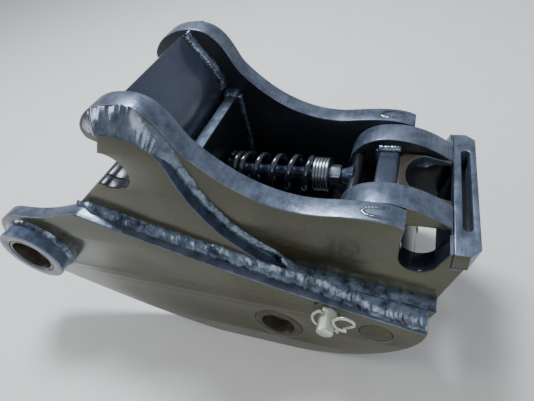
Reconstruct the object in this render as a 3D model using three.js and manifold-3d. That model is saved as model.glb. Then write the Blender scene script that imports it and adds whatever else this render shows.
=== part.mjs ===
// A spring-latched quick hitch for an excavator bucket, lying with its bucket side up.
// Millimetres. +X points to the latch, +Y to the far side and +Z up. It rests on the ears' flat bottoms.
import * as THREE from 'three';
import { mergeVertices } from 'three/addons/utils/BufferGeometryUtils.js';
import Module from 'manifold-3d';

const wasm = await Module();
wasm.setup();

// Driving dimensions
const GAP = 0.3; // between pieces that touch
const ROUND = 32; // sides of a round piece
const PLATE_STEPS = 9; // straight pieces in each curve of a plate
const HOOK_INNER = 55; // half the space between the hook plates
const HOOK_THICK = 20;
const DOUBLER_THICK = 12;
const EAR_THICK = 15;
const LATCH_THICK = 25;
const LATCH_SIDE_GAP = 1.5;
const HOOK_OUTER = HOOK_INNER + HOOK_THICK;
const DOUBLER_INNER = HOOK_OUTER + GAP;
const EAR_INNER = DOUBLER_INNER + DOUBLER_THICK + GAP;
const EAR_OUTER = EAR_INNER + EAR_THICK;
const LATCH_OUTER = HOOK_INNER - LATCH_SIDE_GAP;
const LATCH_INNER = LATCH_OUTER - LATCH_THICK;

// Places in the side view, as x and z
const JAW = { x: -49.6, z: 233, r: 19.5 };
const NOTCH = { x: 201.2, z: 153, r: 14.8 };
const BOSS = { x: -196.2, z: 122.3, r: 37.5, bore: 22.5, liner: 26, length: 17, head: 48.5 };
const LINK = { x: 76.2, z: 48.4, bore: 17.5, bush: 26 };
const PIVOT = { x: 173.7, z: 70.6, r: 15, bore: 15.4, hub: 30, tube: 28 };
const LOCK = { x: 132, z: 94.5, r: 8, bore: 8.5, reach: 123.5, collar: 13 };
const LINK_BAR = { x: 141, z: 169, r: 6, bore: 6.4 };
const CORNER = { x: 189.1, z: 188.5 }; // where the hook plate's rim meets the notch
const NOSE = { left: 225.4, right: 244.7, top: 166.4, height: 17.5, slot: 7.4, slotHalf: 50 };
const NOSE_COVER = { right: 239.1, foot: 226.4, thick: 8.2, bottom: 104.6 };
const BAY_FLOOR = { thick: 10, right: 108 };
const BRACKET = { x: 2, thick: 12, bottom: 105, top: 223, hole: 10 };
const ROD = { r: 6, end: -16, neck: 11 };
const SPRING = { wire: 3, r: 15, left: 14.6, right: 102.8 };
const WASHER = { count: 5, thick: 2.6, r: 16, bore: 6.6, left: 103.2 };
const NUT = { left: 117.8, thick: 10.4, flats: 18 };
const CLIP = {
  y: -109, wire: 1.6, hole: 2, lean: -0.345, bow: 13.4, coil: { x: 16, z: 9.4 }, coilRadius: 8.8,
};

const painted = { color: 0x2c3038, metalness: 0.55, roughness: 0.38 };
const blackSpring = { color: 0x0e0f12, metalness: 0.4, roughness: 0.3 };
const zinc = { color: 0xb8bcc2, metalness: 0.9, roughness: 0.35 };
const brightSteel = { color: 0x8a8f96, metalness: 0.9, roughness: 0.3 };

const hitch = new THREE.Group();

function addMesh(name, geometry, look, parent = hitch) {
  const mesh = new THREE.Mesh(geometry, new THREE.MeshStandardMaterial(look));
  mesh.name = name;
  parent.add(mesh);
  return mesh;
}

function toManifold(geometry) {
  const bare = geometry.clone();
  bare.deleteAttribute('normal');
  bare.deleteAttribute('uv');
  const merged = mergeVertices(bare, 1e-4);
  const vertProperties = new Float32Array(merged.attributes.position.array);
  const triVerts = new Uint32Array(merged.index.array);
  return new wasm.Manifold(new wasm.Mesh({ numProp: 3, vertProperties, triVerts }));
}

function toGeometry(manifold) {
  const mesh = manifold.getMesh();
  const geometry = new THREE.BufferGeometry();
  geometry.setAttribute('position', new THREE.BufferAttribute(mesh.vertProperties, 3));
  geometry.setIndex(new THREE.BufferAttribute(mesh.triVerts, 1));
  geometry.computeVertexNormals();
  return geometry;
}

function cut(geometry, ...tools) {
  const result = tools.reduce((solid, tool) => solid.subtract(toManifold(tool)), toManifold(geometry));
  return toGeometry(result);
}

function addHole(shape, place, radius) {
  const hole = new THREE.Path();
  hole.absarc(place.x, place.z, radius, 0, Math.PI, false);
  hole.absarc(place.x, place.z, radius, Math.PI, 2 * Math.PI, false);
  shape.holes.push(hole);
}

// A flat plate cut to a side-view outline, its thickness along Y from inner to inner + thickness.
function addPlatePair(name, shape, inner, thickness) {
  const geometry = new THREE.ExtrudeGeometry(shape, {
    depth: thickness, bevelEnabled: false, curveSegments: PLATE_STEPS,
  });
  for (const [side, back] of [['near', -inner], ['far', inner + thickness]]) {
    const plate = addMesh(`${side}_${name}`, geometry, painted);
    plate.rotation.x = Math.PI / 2;
    plate.position.y = back;
  }
}

// A closed ring turned about the Y axis.
function ringGeometry(bore, outer, from, to) {
  const section = [
    [bore, from], [outer, from], [outer, to], [bore, to], [bore, from],
  ].map(([r, y]) => new THREE.Vector2(r, y));
  return new THREE.LatheGeometry(section, ROUND);
}

function addRingPair(name, place, bore, outer, from, to, look) {
  for (const [side, sign] of [['near', -1], ['far', 1]]) {
    const low = Math.min(sign * from, sign * to);
    const high = Math.max(sign * from, sign * to);
    const ring = addMesh(`${side}_${name}`, ringGeometry(bore, outer, low, high), look);
    ring.position.set(place.x, 0, place.z);
  }
}

function addPin(name, place, radius, from, to, look, chamfer = 1.2) {
  const section = [
    [0, from], [radius - chamfer, from], [radius, from + chamfer],
    [radius, to - chamfer], [radius - chamfer, to], [0, to],
  ].map(([r, y]) => new THREE.Vector2(r, y));
  const pin = addMesh(name, new THREE.LatheGeometry(section, ROUND), look);
  pin.position.set(place.x, 0, place.z);
  return pin;
}

// The jaw's wall, from its upper lip round the pin's seat to its lower lip, then down the chin.
function cutJawAndChin(shape, upperLip) {
  shape.absarc(JAW.x, JAW.z, JAW.r, upperLip, -Math.PI / 2, true);
  shape.lineTo(-60, 214.5);
  shape.quadraticCurveTo(-67, 220.5, -72, 216);
  shape.lineTo(-122, 178);
}

// The bottom edge that the hook plates and doublers share, hidden between the ears.
function followBottomEdge(shape) {
  shape.lineTo(-122, 162);
  shape.lineTo(56, 96);
  shape.lineTo(108, 94);
  shape.lineTo(118, 80);
  shape.quadraticCurveTo(130, 36, PIVOT.x, 34.6);
  shape.quadraticCurveTo(211, 36, 212.5, 74);
}

function addHookPlates() {
  const shape = new THREE.Shape();
  shape.moveTo(CORNER.x, CORNER.z);
  shape.bezierCurveTo(175, 197, 150, 195, 126.7, 193);
  shape.bezierCurveTo(85, 190.5, 48, 213, 21.5, 246.6);
  shape.bezierCurveTo(12, 258, 12, 291, -24.4, 290.6);
  shape.bezierCurveTo(-42, 290.8, -57, 284, -66, 271);
  shape.quadraticCurveTo(-70, 264, -66, 257.5);
  cutJawAndChin(shape, 1.83);
  followBottomEdge(shape);
  shape.lineTo(221.5, 103.4);
  shape.lineTo(234.6, NOSE.top - NOSE.height - GAP);
  shape.lineTo(NOSE.left - GAP, NOSE.top - NOSE.height - GAP);
  shape.lineTo(NOSE.left - GAP, NOSE.top);
  shape.lineTo(NOSE.left - 2.8, NOSE.top);
  shape.absarc(NOTCH.x, NOTCH.z, NOTCH.r, -0.13 * Math.PI, -Math.PI, true);
  shape.lineTo(CORNER.x - 2, 174);
  addHole(shape, PIVOT, PIVOT.r + GAP);
  addHole(shape, LOCK, LOCK.bore);
  addPlatePair('hook_plate', shape, HOOK_INNER, HOOK_THICK);
}

function addDoublers() {
  const shape = new THREE.Shape();
  shape.moveTo(221, 100.5);
  shape.lineTo(96, 119);
  shape.bezierCurveTo(38, 150, 16, 190, 9, 245);
  shape.bezierCurveTo(5, 262, -15, 273, -38.5, 271.6);
  cutJawAndChin(shape, 1.6);
  followBottomEdge(shape);
  addHole(shape, PIVOT, PIVOT.r + GAP);
  addHole(shape, LOCK, LOCK.bore);
  addPlatePair('doubler', shape, DOUBLER_INNER, DOUBLER_THICK);
}

function addEars() {
  const shape = new THREE.Shape();
  shape.moveTo(215.7, 88);
  shape.quadraticCurveTo(75, 117, -100, 184.5);
  shape.quadraticCurveTo(-108, 188, -118, 185);
  shape.bezierCurveTo(-145, 176, -165, 171, BOSS.x, BOSS.z + BOSS.head);
  shape.absarc(BOSS.x, BOSS.z, BOSS.head, Math.PI / 2, 1.36 * Math.PI, false);
  shape.bezierCurveTo(-150, 45, -60, 8, 0, 0);
  shape.lineTo(84, 0);
  shape.bezierCurveTo(145, 0, 214, 44, 215.7, 88);
  addHole(shape, BOSS, BOSS.liner + GAP);
  addHole(shape, LINK, LINK.bush + GAP);
  addHole(shape, PIVOT, PIVOT.r + GAP);
  addHole(shape, LOCK, LOCK.bore);
  addPlatePair('ear', shape, EAR_INNER, EAR_THICK);
}

function addBushes() {
  const bossEnd = EAR_OUTER + BOSS.length;
  addRingPair('boss', BOSS, BOSS.liner + GAP, BOSS.r, EAR_OUTER + GAP, bossEnd, painted);
  addRingPair('boss_liner', BOSS, BOSS.bore, BOSS.liner, EAR_INNER, bossEnd - 0.5, brightSteel);
  addRingPair('link_bush', LINK, LINK.bore, LINK.bush, EAR_INNER, EAR_OUTER, brightSteel);
}

// The plate behind the fixed jaw: flat at the top, then bent round the pin's seat.
function addJawPlate() {
  const thick = 12;
  const mid = 42.2;
  const bend = Math.PI / 6; // where the flat part meets the bend
  const end = -Math.PI / 4;
  const flat = 36;
  const along = new THREE.Vector2(-Math.sin(bend), Math.cos(bend));
  const at = (radius, angle) => new THREE.Vector2(
    JAW.x + radius * Math.cos(angle), JAW.z + radius * Math.sin(angle));
  const outerTop = at(mid + thick / 2, bend).addScaledVector(along, flat);
  const innerTop = at(mid - thick / 2, bend).addScaledVector(along, flat);
  const shape = new THREE.Shape();
  shape.moveTo(outerTop.x, outerTop.y);
  shape.lineTo(innerTop.x, innerTop.y);
  shape.absarc(JAW.x, JAW.z, mid - thick / 2, bend, end, true);
  shape.absarc(JAW.x, JAW.z, mid + thick / 2, end, bend, false);
  const depth = 2 * (HOOK_INNER - GAP);
  const plate = addMesh('jaw_plate', new THREE.ExtrudeGeometry(shape, {
    depth, bevelEnabled: false, curveSegments: 12,
  }), painted);
  plate.rotation.x = Math.PI / 2;
  plate.position.y = depth / 2;
}

function addSpringBracket() {
  const half = HOOK_INNER - GAP;
  const shape = new THREE.Shape();
  shape.moveTo(-half, BRACKET.bottom);
  shape.lineTo(half, BRACKET.bottom);
  shape.lineTo(half, BRACKET.top);
  shape.lineTo(-half, BRACKET.top);
  addHole(shape, { x: 0, z: LINK_BAR.z + 1.5 }, BRACKET.hole);
  const plate = new THREE.ExtrudeGeometry(shape, {
    depth: BRACKET.thick, bevelEnabled: false, curveSegments: PLATE_STEPS,
  });
  plate.rotateX(Math.PI / 2);
  plate.rotateZ(Math.PI / 2);
  plate.translate(BRACKET.x, 0, 0);
  addMesh('spring_bracket', plate, painted);
}

// The cross bar at the tip, with a slot for the lever that works the latch.
function addNoseBar() {
  const chamfer = 8;
  const shape = new THREE.Shape();
  shape.moveTo(NOSE.left, -HOOK_OUTER);
  shape.lineTo(NOSE.right - chamfer, -HOOK_OUTER);
  shape.lineTo(NOSE.right, -HOOK_OUTER + chamfer);
  shape.lineTo(NOSE.right, HOOK_OUTER - chamfer);
  shape.lineTo(NOSE.right - chamfer, HOOK_OUTER);
  shape.lineTo(NOSE.left, HOOK_OUTER);
  const slotX = (NOSE.left + NOSE.right) / 2 + 0.5;
  const slot = new THREE.Path();
  slot.absarc(slotX, NOSE.slotHalf - NOSE.slot / 2, NOSE.slot / 2, 0, Math.PI, false);
  slot.absarc(slotX, -NOSE.slotHalf + NOSE.slot / 2, NOSE.slot / 2, Math.PI, 2 * Math.PI, false);
  shape.holes.push(slot);
  const bar = new THREE.ExtrudeGeometry(shape, {
    depth: NOSE.height, bevelEnabled: false, curveSegments: 10,
  });
  bar.translate(0, 0, NOSE.top - NOSE.height);
  const slope = new THREE.BoxGeometry(40, 3 * HOOK_OUTER, 80);
  slope.translate(20, 0, -40);
  slope.rotateY(0.3);
  slope.translate(NOSE.right, 0, NOSE.top);
  addMesh('nose_bar', cut(bar, slope), painted);
}

// A flat plate across the space between the hook plates, cut to a side-view outline.
function addCrossPlate(name, outline) {
  const shape = new THREE.Shape();
  outline.forEach(([x, z], i) => (i === 0 ? shape.moveTo(x, z) : shape.lineTo(x, z)));
  const depth = 2 * (HOOK_INNER - GAP);
  const plate = addMesh(name, new THREE.ExtrudeGeometry(shape, {
    depth, bevelEnabled: false,
  }), painted);
  plate.rotation.x = Math.PI / 2;
  plate.position.y = depth / 2;
}

// The sloping plate that closes the tip below the nose bar.
function addNoseCover() {
  const top = NOSE.top - NOSE.height - GAP;
  addCrossPlate('nose_cover', [
    [NOSE_COVER.right, top],
    [NOSE_COVER.right - NOSE_COVER.thick, top],
    [NOSE_COVER.foot - NOSE_COVER.thick, NOSE_COVER.bottom],
    [NOSE_COVER.foot, NOSE_COVER.bottom],
  ]);
}

// The floor under the spring, which follows the hook plates' bottom edge.
function addBayFloor() {
  const left = BRACKET.x + BRACKET.thick + GAP;
  addCrossPlate('bay_floor', [
    [left, 111.5],
    [56, 96],
    [BAY_FLOOR.right, 94],
    [BAY_FLOOR.right, 94 + BAY_FLOOR.thick],
    [57.5, 96 + BAY_FLOOR.thick],
    [left, 111.5 + 1.07 * BAY_FLOOR.thick],
  ]);
}

function addFrame() {
  addHookPlates();
  addDoublers();
  addEars();
  addBushes();
  addJawPlate();
  addSpringBracket();
  addNoseBar();
  addNoseCover();
  addBayFloor();
  addPin('pivot_pin', PIVOT, PIVOT.r, -EAR_OUTER, EAR_OUTER, brightSteel, 0.8);
}

function addLatchPlates() {
  const shape = new THREE.Shape();
  shape.moveTo(131, 160);
  shape.bezierCurveTo(131, 176, 145, 191.5, 168, 191.8);
  shape.bezierCurveTo(190, 192.5, 207, 184, 224, 171);
  shape.lineTo(224, 168.6);
  shape.lineTo(188, 168.6);
  shape.quadraticCurveTo(185, 168.6, 185, 165.6);
  shape.lineTo(184, 136);
  shape.quadraticCurveTo(187, 108, PIVOT.x + PIVOT.hub, PIVOT.z);
  shape.absarc(PIVOT.x, PIVOT.z, PIVOT.hub, 0, 0.66 * Math.PI, true);
  shape.lineTo(146, 123);
  shape.quadraticCurveTo(134, 143, 131, 160);
  addHole(shape, PIVOT, PIVOT.bore);
  addHole(shape, LINK_BAR, LINK_BAR.bore);
  addPlatePair('latch_plate', shape, LATCH_INNER, LATCH_THICK);
}

function addLatchCrossPieces() {
  const half = LATCH_INNER - GAP;
  const barRight = 178.5;
  const bar = new THREE.Shape();
  bar.moveTo(159.5, 150);
  bar.lineTo(barRight, 150);
  bar.lineTo(barRight, 177);
  bar.quadraticCurveTo(barRight, 181.5, barRight - 4.5, 181.5);
  bar.lineTo(163, 181.5);
  bar.quadraticCurveTo(159.5, 181.5, 159.5, 178);
  const crossBar = addMesh('latch_cross_bar', new THREE.ExtrudeGeometry(bar, {
    depth: 2 * half, bevelEnabled: false, curveSegments: 8,
  }), painted);
  crossBar.rotation.x = Math.PI / 2;
  crossBar.position.y = half;

  const web = new THREE.Shape();
  web.moveTo(barRight + GAP, 168.6);
  web.lineTo(223, 168.6);
  web.lineTo(223, 170.5);
  web.quadraticCurveTo(213, 178, 203, 178);
  web.lineTo(barRight + GAP, 178);
  const webPlate = new THREE.ExtrudeGeometry(web, {
    depth: 2 * half, bevelEnabled: false, curveSegments: 6,
  });
  webPlate.rotateX(Math.PI / 2);
  webPlate.translate(0, half, 0);
  const arch = new THREE.Shape();
  arch.absellipse(202, 0, 17, 24, Math.PI / 2, 1.5 * Math.PI, false, 0);
  arch.lineTo(240, -24);
  arch.lineTo(240, 24);
  const archTool = new THREE.ExtrudeGeometry(arch, {
    depth: 40, bevelEnabled: false, curveSegments: 10,
  });
  archTool.translate(0, 0, 150);
  addMesh('latch_web', cut(webPlate, archTool), painted);

  const tube = addMesh('latch_hub_tube', ringGeometry(PIVOT.bore, PIVOT.tube, -half, half), painted);
  tube.position.set(PIVOT.x, 0, PIVOT.z);
}

function addSpringRod() {
  addPin('rod_cross_bar', LINK_BAR, LINK_BAR.r, 0.5 - LATCH_OUTER, LATCH_OUTER - 0.5, painted, 0.8);
  const neckStart = LINK_BAR.x - NUT.left - NUT.thick - GAP;
  const section = [
    [0, 0], [ROD.neck, 0], [ROD.neck - 1, 4], [ROD.r + 0.6, neckStart],
    [ROD.r, neckStart], [ROD.r, LINK_BAR.x - ROD.end - 1], [ROD.r - 1, LINK_BAR.x - ROD.end],
    [0, LINK_BAR.x - ROD.end],
  ].map(([r, y]) => new THREE.Vector2(r, y));
  const rod = new THREE.LatheGeometry(section, ROUND);
  const seat = new THREE.CylinderGeometry(LINK_BAR.r + GAP, LINK_BAR.r + GAP, 40, ROUND);
  seat.rotateZ(Math.PI / 2);
  const mesh = addMesh('spring_rod', cut(rod, seat), zinc);
  mesh.rotation.z = Math.PI / 2;
  mesh.position.set(LINK_BAR.x, 0, LINK_BAR.z);
}

// A ring or hexagon on the rod, its axis along X.
function addOnRod(name, geometry, x, look) {
  const mesh = addMesh(name, geometry, look);
  mesh.rotation.z = -Math.PI / 2;
  mesh.position.set(x, 0, LINK_BAR.z);
}

function addRodHardware() {
  for (let i = 0; i < WASHER.count; i += 1) {
    const ring = ringGeometry(WASHER.bore, WASHER.r, 0, WASHER.thick);
    addOnRod(`spring_washer_${i + 1}`, ring, WASHER.left + i * (WASHER.thick + GAP), zinc);
  }
  const across = NUT.flats / Math.sqrt(3);
  const hexagon = new THREE.CylinderGeometry(across, across, NUT.thick, 6);
  hexagon.translate(0, NUT.thick / 2, 0);
  const bore = new THREE.CylinderGeometry(ROD.r + GAP, ROD.r + GAP, 3 * NUT.thick, ROUND);
  addOnRod('rod_nut', cut(hexagon, bore), NUT.left, zinc);
}

// Where the wire's centre is after a number of turns: two close turns, open turns, then a closed end.
function coilAdvance(turn) {
  const closed = 7.4;
  const open = (SPRING.right - SPRING.left - 2 * SPRING.wire - 2 * closed) / 4;
  return turn < 2 ? closed * turn : Math.min(2 * closed + open * (turn - 2), 2 * closed + 4 * open);
}

class Coil extends THREE.Curve {
  getPoint(t, target = new THREE.Vector3()) {
    const turn = 6.3 * t;
    const angle = 2 * Math.PI * turn;
    const x = SPRING.left + SPRING.wire + coilAdvance(turn);
    return target.set(x, SPRING.r * Math.sin(angle), LINK_BAR.z + SPRING.r * Math.cos(angle));
  }
}

function wireSection(radius, sides) {
  const section = new THREE.Shape();
  for (let i = 0; i < sides; i += 1) {
    const angle = (2 * Math.PI * i) / sides;
    const point = [radius * Math.cos(angle), radius * Math.sin(angle)];
    if (i === 0) section.moveTo(...point);
    else section.lineTo(...point);
  }
  return section;
}

function addSpring() {
  addMesh('latch_spring', new THREE.ExtrudeGeometry(wireSection(SPRING.wire, 8), {
    steps: 100, bevelEnabled: false, extrudePath: new Coil(),
  }), blackSpring);
}

function addLockPin() {
  const chamfer = 1.6;
  const collar = EAR_OUTER + 1;
  const section = [
    [0, -LOCK.reach], [LOCK.r - chamfer, -LOCK.reach], [LOCK.r, chamfer - LOCK.reach],
    [LOCK.r, collar], [LOCK.collar, collar], [LOCK.collar, collar + 6], [LOCK.r, collar + 6],
    [LOCK.r, LOCK.reach - chamfer], [LOCK.r - chamfer, LOCK.reach], [0, LOCK.reach],
  ].map(([r, y]) => new THREE.Vector2(r, y));
  const hole = new THREE.CylinderGeometry(CLIP.hole, CLIP.hole, 3 * LOCK.r, 16);
  hole.rotateX(Math.PI / 2);
  hole.rotateY(CLIP.lean);
  hole.translate(0, CLIP.y, 0);
  const pin = addMesh('lock_pin', cut(new THREE.LatheGeometry(section, ROUND), hole), zinc);
  pin.position.set(LOCK.x, 0, LOCK.z);
}

// Points on an arc of the clip's wire, drawn towards the viewer (lift) as it goes round.
function clipArc(centre, radius, from, to, steps, liftFrom, liftTo) {
  const points = [];
  for (let i = 0; i <= steps; i += 1) {
    const part = i / steps;
    const angle = from + part * (to - from);
    const lift = liftFrom + part * (liftTo - liftFrom);
    points.push(new THREE.Vector3(
      centre.x + radius * Math.cos(angle), -lift, centre.z + radius * Math.sin(angle)));
  }
  return points;
}

// A straight leg up through the pin, a bow round the pin and then a coil that ends in one turn.
function clipRoute() {
  const leg = new THREE.Vector3(Math.sin(CLIP.lean), 0, Math.cos(CLIP.lean));
  const points = [-24.5, -18, -12, -6, 0, 6, 11].map((along) => leg.clone().multiplyScalar(along));
  points.push(...clipArc({ x: 0, z: 0 }, CLIP.bow, 0.66 * Math.PI, 1.86 * Math.PI, 12, 0.4, 4.2));
  points.push(...clipArc(CLIP.coil, CLIP.coilRadius, -0.18 * Math.PI, 1.6 * Math.PI, 14, 4.6, 8.6));
  return new THREE.CatmullRomCurve3(points, false, 'centripetal');
}

function addClip() {
  const wire = new THREE.ExtrudeGeometry(wireSection(CLIP.wire, 8), {
    steps: 66, bevelEnabled: false, extrudePath: clipRoute(),
  });
  const clip = addMesh('r_clip', wire, zinc);
  clip.position.set(LOCK.x, CLIP.y, LOCK.z);
}

addFrame();
addLatchPlates();
addLatchCrossPieces();
addSpringRod();
addRodHardware();
addSpring();
addLockPin();
addClip();

export default hitch;
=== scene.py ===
import math

import bmesh
import bpy
import numpy as np
from mathutils import Matrix, Vector
from mathutils.geometry import tessellate_polygon


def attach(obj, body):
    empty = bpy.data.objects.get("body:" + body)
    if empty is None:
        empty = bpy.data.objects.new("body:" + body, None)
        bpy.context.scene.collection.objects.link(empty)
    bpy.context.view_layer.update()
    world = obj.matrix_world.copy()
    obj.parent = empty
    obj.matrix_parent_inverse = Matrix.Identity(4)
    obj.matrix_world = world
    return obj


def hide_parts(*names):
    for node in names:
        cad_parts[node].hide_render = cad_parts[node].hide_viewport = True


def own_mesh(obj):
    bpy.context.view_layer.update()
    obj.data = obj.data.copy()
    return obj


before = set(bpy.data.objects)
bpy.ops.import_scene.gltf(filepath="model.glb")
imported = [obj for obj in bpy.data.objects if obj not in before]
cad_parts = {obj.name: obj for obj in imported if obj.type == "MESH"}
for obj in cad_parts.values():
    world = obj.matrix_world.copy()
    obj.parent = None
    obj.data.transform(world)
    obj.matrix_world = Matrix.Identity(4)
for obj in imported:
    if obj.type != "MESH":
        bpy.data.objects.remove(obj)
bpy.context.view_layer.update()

# Lengths are in millimetres. MM turns them into metres.
MM = 0.001

# The plates' faces, as distances from the middle plane.
HOOK = (55.0, 75.0)
DOUBLER = (75.3, 87.3)
EAR = (87.6, 102.6)
LATCH = (28.5, 53.5)

# Half the width of what stands between the hook plates, and between the latch plates.
CROSS_HALF = 54.7
LATCH_HALF = LATCH[0] - 0.3

# Centres in the side view, as x and z, with the radii that belong to them.
JAW = (-49.6, 233.0)
JAW_R = 19.5
JAW_PLATE_OUTER = 48.2
JAW_PLATE_INNER = 36.2
BOSS = (-196.2, 122.3)
EAR_HEAD = 48.36
NOTCH = (201.2, 153.0)
NOTCH_R = 14.8
LINK = (76.2, 48.4)
PIVOT = (173.7, 70.6)
LOCK = (132.0, 94.5)
BAR = (141.0, 169.0)
BUSH_BORE = 26.3
PIVOT_BORE = 15.3
LOCK_BORE = 8.5
LATCH_BORE = 15.4
BAR_BORE = 6.4

# Where the welds' roots lie, as distances from the middle plane.
EAR_SEAM = 87.4
DOUBLER_SEAM = 75.1
CROSS_SEAM = 54.8
LATCH_SEAM = 28.4
WELD_STEP = 0.9  # spacing of the points along a weld
BEAK_TOP = 290.4  # the beak's weld is held below this height, so it stays inside the CAD box

# The camera as fitted to the photo, its place in metres.
CAMERA_PLACE = (0.1879, -0.2732, 0.4193)
CAMERA_AHEAD = (-0.335, 0.639, -0.692)
CAMERA_RIGHT = (0.937, 0.302, -0.175)
CAMERA_LENS = 26.24
CAMERA_SENSOR = 36


# ---------- materials ----------

class Nodes:
    """Short calls for building a node material."""

    def __init__(self, name):
        self.material = bpy.data.materials.new(name)
        self.material.use_nodes = True
        self.tree = self.material.node_tree
        self.shader = self.tree.nodes["Principled BSDF"]
        self.where = self.tree.nodes.new("ShaderNodeTexCoord").outputs["Object"]

    def add(self, kind, **settings):
        node = self.tree.nodes.new(kind)
        for key, value in settings.items():
            if key in node.inputs:
                node.inputs[key].default_value = value
            else:
                setattr(node, key, value)
        return node

    def link(self, source, target):
        self.tree.links.new(source, target)

    def noise(self, scale, detail=4.0, rough=0.55, stretch=(1, 1, 1), distortion=0.0):
        mapping = self.add("ShaderNodeMapping")
        mapping.inputs["Scale"].default_value = stretch
        self.link(self.where, mapping.inputs["Vector"])
        node = self.add("ShaderNodeTexNoise")
        node.inputs["Scale"].default_value = scale
        node.inputs["Detail"].default_value = detail
        node.inputs["Roughness"].default_value = rough
        node.inputs["Distortion"].default_value = distortion
        self.link(mapping.outputs[0], node.inputs["Vector"])
        return node.outputs["Fac"]

    def ramp(self, source, stops):
        node = self.add("ShaderNodeValToRGB")
        elements = node.color_ramp.elements
        while len(elements) < len(stops):
            elements.new(0.5)
        for element, (place, colour) in zip(elements, stops):
            element.position = place
            rgb = colour if isinstance(colour, tuple) else (colour,) * 3
            element.color = (*rgb, 1)
        self.link(source, node.inputs["Fac"])
        return node.outputs["Color"]

    def mix(self, factor, a, b, blend="MIX"):
        node = self.add("ShaderNodeMix", data_type="RGBA", blend_type=blend)
        pairs = ((factor, node.inputs[0]), (a, node.inputs[6]), (b, node.inputs[7]))
        for value, socket in pairs:
            if isinstance(value, bpy.types.NodeSocket):
                self.link(value, socket)
            elif isinstance(value, tuple):
                socket.default_value = (*value, 1)
            else:
                socket.default_value = value
        return node.outputs[2]

    def bump(self, height, strength, distance, below=None):
        node = self.add("ShaderNodeBump")
        node.inputs["Strength"].default_value = strength
        node.inputs["Distance"].default_value = distance
        self.link(height, node.inputs["Height"])
        if below is not None:
            self.link(below, node.inputs["Normal"])
        return node.outputs["Normal"]

    def done(self, colour, roughness, normal, metallic=0.0, coat=0.0, coat_roughness=0.1):
        self.link(colour, self.shader.inputs["Base Color"])
        self.link(roughness, self.shader.inputs["Roughness"])
        self.link(normal, self.shader.inputs["Normal"])
        self.shader.inputs["Metallic"].default_value = metallic
        self.shader.inputs["Coat Weight"].default_value = coat
        self.shader.inputs["Coat Roughness"].default_value = coat_roughness
        return self.material


def paint_material(name, dark, light, dust, gloss, metallic, coat=0.25):
    """A dark glossy coating with cloudy colour, dust, fine scratches and a slightly uneven film."""
    n = Nodes(name)
    cloud = n.noise(9, 5, 0.6)
    colour = n.ramp(cloud, [(0.3, dark), (0.72, light)])
    speck = n.ramp(n.noise(420, 3, 0.7), [(0.62, 0.0), (0.75, 1.0)])
    colour = n.mix(n.mix(0.5, (0.0, 0.0, 0.0), speck), colour, dust)
    scratch = n.ramp(n.noise(60, 2, 0.4, (1, 1, 26), 0.3), [(0.66, 0.0), (0.7, 1.0)])
    patchy = n.ramp(n.noise(26, 6, 0.6), [(0.3, gloss), (0.75, gloss + 0.2)])
    rough = n.mix(0.35, patchy, scratch)
    rough = n.mix(0.6, rough, (gloss, gloss, gloss))
    film = n.bump(n.noise(150, 3, 0.5), 0.12, 0.0006)
    fine = n.bump(n.noise(1600, 2, 0.5), 0.07, 0.00012, film)
    return n.done(colour, rough, fine, metallic, coat, 0.12)


def cut_material(name, dark, light, metallic=0.5, gloss=0.33):
    """A flame-cut and ground edge under thin paint: streaks run across the plate's thickness."""
    n = Nodes(name)
    streaks = n.noise(300, 3, 0.6, (1, 0.05, 1))
    cloud = n.noise(64, 6, 0.65)
    streaked = n.ramp(streaks, [(0.3, dark), (0.7, light)])
    clouded = n.ramp(cloud, [(0.38, dark), (0.64, light)])
    colour = n.mix(0.72, streaked, clouded)
    rough = n.ramp(n.noise(80, 5, 0.6), [(0.3, gloss), (0.7, gloss + 0.24)])
    broad = n.bump(n.noise(45, 4, 0.6), 0.45, 0.0016)
    lines = n.bump(streaks, 0.22, 0.0004, broad)
    pits = n.bump(n.noise(900, 3, 0.7), 0.16, 0.0002, lines)
    return n.done(colour, rough, pits, metallic, 0.25, 0.12)


def weld_material(name, dark, light, gloss=0.2, lump=0.5, cloud_size=95):
    """Painted weld metal, glossy and lumpy, with spatter. The light patches of its cloudy colour are
    painted highlights.
    """
    n = Nodes(name)
    cloud = n.noise(cloud_size, 6, 0.65)
    colour = n.ramp(cloud, [(0.38, dark), (0.62, light)])
    rough = n.ramp(n.noise(220, 4, 0.6), [(0.3, gloss), (0.75, gloss + 0.2)])
    lumps = n.bump(n.noise(230, 4, 0.55), lump, 0.0012)
    grit = n.bump(n.noise(1300, 3, 0.6), 0.15, 0.0002, lumps)
    return n.done(colour, rough, grit, 0.75, 0.6, 0.08)


def turned_material(name, dark, light, stretch, gloss=0.26, metallic=0.9):
    """Bare or zinc-plated steel with fine tool marks along one direction."""
    n = Nodes(name)
    marks = n.noise(700, 3, 0.6, stretch)
    cloud = n.noise(60, 5, 0.6)
    clouded = n.ramp(cloud, [(0.3, dark), (0.7, light)])
    marked = n.ramp(marks, [(0.3, dark), (0.7, light)])
    colour = n.mix(0.4, clouded, marked)
    rough = n.ramp(n.noise(140, 4, 0.6), [(0.3, gloss), (0.7, gloss + 0.2)])
    lines = n.bump(marks, 0.3, 0.0002)
    return n.done(colour, rough, lines, metallic)


# Outer faces: a dark coating whose olive tint is a painted reflection of a yellow backdrop.
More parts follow.
